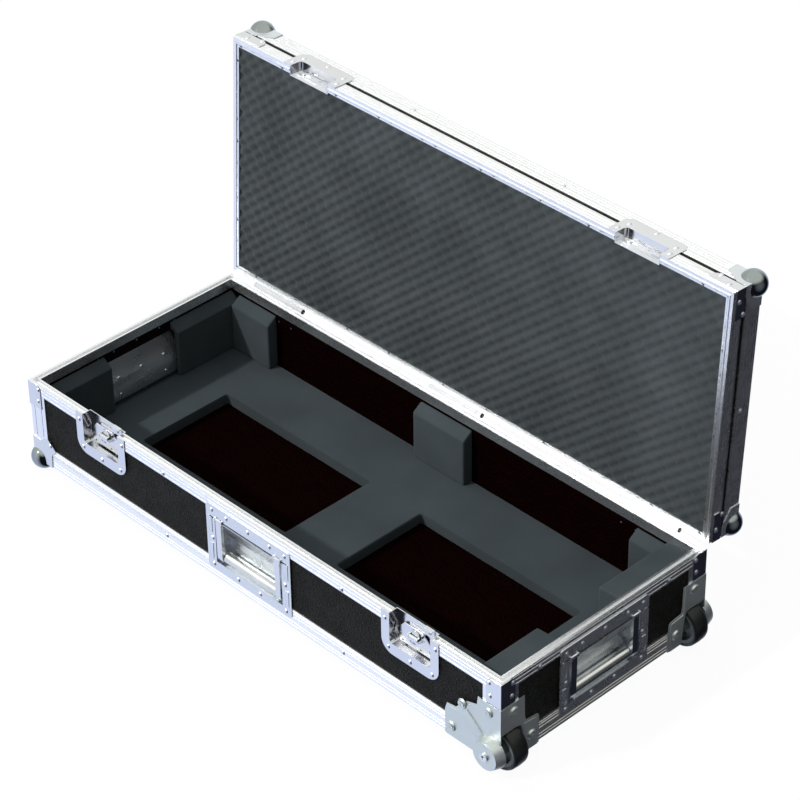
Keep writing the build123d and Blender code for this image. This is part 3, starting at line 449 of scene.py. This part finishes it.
# Parts with their edges broken, so that they catch the light; "even" keeps flat faces flat to the eye
edgeSets = {
    "pressed": {"slot": "bright_steel", "width": 0.45, "angle": 32, "segments": 2, "even": False, "parts": {
        "base_ball_corners": "baseCorners", "lid_ball_corners": "lidCorners",
        "base_corner_braces": "baseBraces", "lid_corner_braces": "lidBraces",
        "latch_tray_left": "latchTrayLeft", "latch_tray_right": "latchTrayRight",
        "lid_latch_trays": "lidTrays", "handle_dish_front": "dishFront", "handle_dish_left": "dishLeft",
        "handle_dish_right": "dishRight", "wheel_bracket_front": "bracketFront",
        "wheel_bracket_back": "bracketBack",
    }},
    "extruded": {"slot": "edging", "width": 0.30, "angle": 40, "segments": 2, "even": True, "parts": {
        "base_bottom_edging": "bottomEdging", "base_corner_angles": "cornerAngles",
        "base_rim_long": "rimLong", "base_rim_short": "rimShort", "lid_top_edging": "lidEdging",
        "lid_rim": "lidRim",
    }},
    "rubber": {"slot": "tyre", "width": 6.0, "angle": 40, "segments": 4, "even": False, "parts": {
        "wheel_tyre_front": "frontTyre", "wheel_tyre_back": "backTyre",
    }},
}
# The lid's slot opens a little, to show more of the black wall behind it, and its tongue is cut short.
# Each pair is a face's height on the shut lid and how far it moves up, in mm
slotSet = {
    "near": 0.2, "parts": {"lid_rim": [(166.9, -1.2), (140.4, 2.3)], "lid_top_edging": [(170.9, 1.3)]},
}
ballSet = {"radius": 20.5, "inset": 9.0, "baseHeight": 0.0, "lidHeight": 197.0, "near": 1.2}


def openLidSlot(piece, moves):
    for vertex in piece.data.vertices:
        spot = unswing @ vertex.co
        for level, shift in moves:
            if abs(spot.z / mm - level) < slotSet["near"]:
                vertex.co = swing @ Vector((spot.x, spot.y, spot.z + shift * mm))


def paintBalls(piece, body):
    # The polished balls take their own finish, the plates round them stay pressed steel
    piece.data.materials.clear()
    piece.data.materials.append(finishes["dish"])
    piece.data.materials.append(finishes["ball"])
    high = ballSet["lidHeight"] if body == "lid" else ballSet["baseHeight"]
    back = unswing if body == "lid" else Matrix.Identity(4)
    for face in piece.data.polygons:
        spot = (back @ face.center) / mm
        middle = Vector((
            math.copysign(case["halfLength"] - ballSet["inset"], spot.x),
            math.copysign(case["halfDepth"] - ballSet["inset"], spot.y), high,
        ))
        if abs((spot - middle).length - ballSet["radius"]) < ballSet["near"]:
            face.material_index = 1


def breakEdges(settings, soft=40):
    for node, title in settings["parts"].items():
        piece = cadCopy(title, node)
        if node in slotSet["parts"]:
            openLidSlot(piece, slotSet["parts"][node])
        smooth(piece, soft)
        bevel = piece.modifiers.new("edges", "BEVEL")
        bevel.harden_normals = settings["even"]
        bevel.width = settings["width"] * mm
        bevel.segments = settings["segments"]
        bevel.limit_method = "ANGLE"
        bevel.angle_limit = math.radians(settings["angle"])
        bevel.use_clamp_overlap = True
        if settings["even"]:
            even = piece.modifiers.new("even", "WEIGHTED_NORMAL")
            even.keep_sharp = True
        applyAll(piece)
        if not settings["even"]:
            smooth(piece, soft)
        body = "lid" if node.startswith("lid") else "base"
        if "tyre" in node:
            body = node.replace("tyre_", "")  # each tyre turns with its own wheel
        finishPiece(piece, body, finishFor(node), [node])
        if "ball" in node:
            paintBalls(piece, body)


for settings in edgeSets.values():
    breakEdges(settings)
print("edges broken")


padSet = {
    "voxel": 0.0019, "uneven": 0.0006, "middle": 0.75, "patch": 0.045, "soft": 60,
    "parts": {
        "foam_floor": "floorFoam", "foam_left_pads": "leftPad", "foam_right_pads": "rightPad",
        "foam_back_blocks": "backBlock", "foam_front_blocks": "frontBlock",
    },
}


def padTexture(settings):
    clouds = bpy.data.textures.new("unevenFoam", "CLOUDS")
    clouds.noise_scale = settings["patch"]
    clouds.noise_depth = 2
    return clouds


def padPlace(pad):
    # Sets the order in which the pads are numbered
    return sum(v.co.x + 3 * v.co.y for v in pad.data.vertices) / len(pad.data.vertices)


def makePads(settings, node, title, clouds):
    # Foam cut to the shape the case needs: rounded cut edges and faintly uneven faces
    cadCopy(title, node)
    bpy.ops.object.mode_set(mode="EDIT")
    bpy.ops.mesh.select_all(action="SELECT")
    bpy.ops.mesh.separate(type="LOOSE")
    bpy.ops.object.mode_set(mode="OBJECT")
    for i, pad in enumerate(sorted(bpy.context.selected_objects, key=padPlace)):
        pad.name = title + str(i + 1)
        remesh = pad.modifiers.new("remesh", "REMESH")
        remesh.mode = "VOXEL"
        remesh.voxel_size = settings["voxel"] * 1
        uneven = pad.modifiers.new("uneven", "DISPLACE")
        uneven.texture = clouds
        uneven.texture_coords = "LOCAL"
        uneven.strength = settings["uneven"]
        uneven.mid_level = settings["middle"]
        applyAll(pad)
        smooth(pad, settings["soft"])
        finishPiece(pad, "base", finishes["foam"], [node])


padClouds = padTexture(padSet)
for node, title in padSet["parts"].items():
    makePads(padSet, node, title, padClouds)
print("base foam made")


# The hollows repeat along rowA and rowB; the pockets leave room for the latch plates
lidFoamSet = {
    "half": (491.0, 197.0), "face": -0.1, "back": 48.2, "step": 2.4, "depth": 5.2, "sharp": 1.3,
    "stray": 0.10, "straySize": 14, "uneven": 0.25, "unevenSize": 30,
    "rowA": (17.2, -14.8), "rowB": (9.85, 11.5), "margin": 2.5, "soft": 50,
    "pocket": {"x": (-331.5, 327.0), "half": 42.4, "deep": 18.4, "high": 24.4},
}


def hollowDepth(settings, x, y):
    # How far the foam's face is pressed in at a place on it, in metres; its edge stays flat
    halfX, halfY = settings["half"]
    a, b = Vector(settings["rowA"]), Vector(settings["rowB"])
    area = a.x * b.y - a.y * b.x
    near = min(halfX - abs(x), halfY - abs(y)) / settings["margin"]
    size = settings["straySize"]
    s = (x * b.y - y * b.x) / area + settings["stray"] * noise.noise(Vector((x / size, y / size, 3.0)))
    t = (a.x * y - a.y * x) / area + settings["stray"] * noise.noise(Vector((x / size, y / size, 9.0)))
    hollow = 0.5 + 0.25 * (math.cos(2 * math.pi * s) + math.cos(2 * math.pi * t))
    size = settings["unevenSize"]
    uneven = 1 + settings["uneven"] * noise.noise(Vector((x / size, y / size, 0.0)))
    return settings["depth"] * mm * hollow ** settings["sharp"] * uneven * min(1.0, max(0.0, near))


def makeLidFoam(settings):
    # Profiled foam: a fine grid with staggered hollows, and a pocket cut behind each latch plate
    halfX, halfY = settings["half"]
    step = settings["step"] * 1
    countX, countY = round(2 * halfX / step), round(2 * halfY / step)
    thick = (settings["back"] - settings["face"]) * mm
    level = (case["lidHeight"] + settings["face"]) * mm
    bpy.ops.object.select_all(action="DESELECT")
    bpy.ops.mesh.primitive_grid_add(x_subdivisions=countX, y_subdivisions=countY, size=2)
    piece = bpy.context.object
    piece.name = "lidFoam"
    piece.data.transform(Matrix.Diagonal((halfX * mm, halfY * mm, 1, 1)))
    bpy.ops.object.mode_set(mode="EDIT")
    bpy.ops.mesh.select_all(action="SELECT")
    bpy.ops.mesh.extrude_region_move(TRANSFORM_OT_translate={"value": (0, 0, thick)})
    bpy.ops.object.mode_set(mode="OBJECT")
    for vertex in piece.data.vertices:
        x, y, z = vertex.co.x / mm, vertex.co.y / mm, vertex.co.z
        vertex.co.z = z + level
        if z < thick / 2:
            vertex.co.z += hollowDepth(settings, x, y)
    pocket = settings["pocket"]
    for across in pocket["x"]:
        bpy.ops.object.select_all(action="DESELECT")
        bpy.ops.mesh.primitive_cube_add(size=1)
        cutter = bpy.context.object
        cutter.data.transform(
            Matrix.Translation(Vector((across, -case["halfDepth"], case["lidHeight"])) * mm)
            @ Matrix.Diagonal((2 * pocket["half"] * mm, 2 * pocket["deep"] * mm, 2 * pocket["high"] * mm, 1))
        )
        cut = piece.modifiers.new("pocket", "BOOLEAN")
        cut.object = cutter
        cut.solver = "EXACT"
        applyAll(piece)
        bpy.data.objects.remove(cutter)
    piece.data.transform(swing)
    smooth(piece, settings["soft"])
    finishPiece(piece, "lid", finishes["lidFoam"], ["lid_foam"])


makeLidFoam(lidFoamSet)
print("lid foam made")
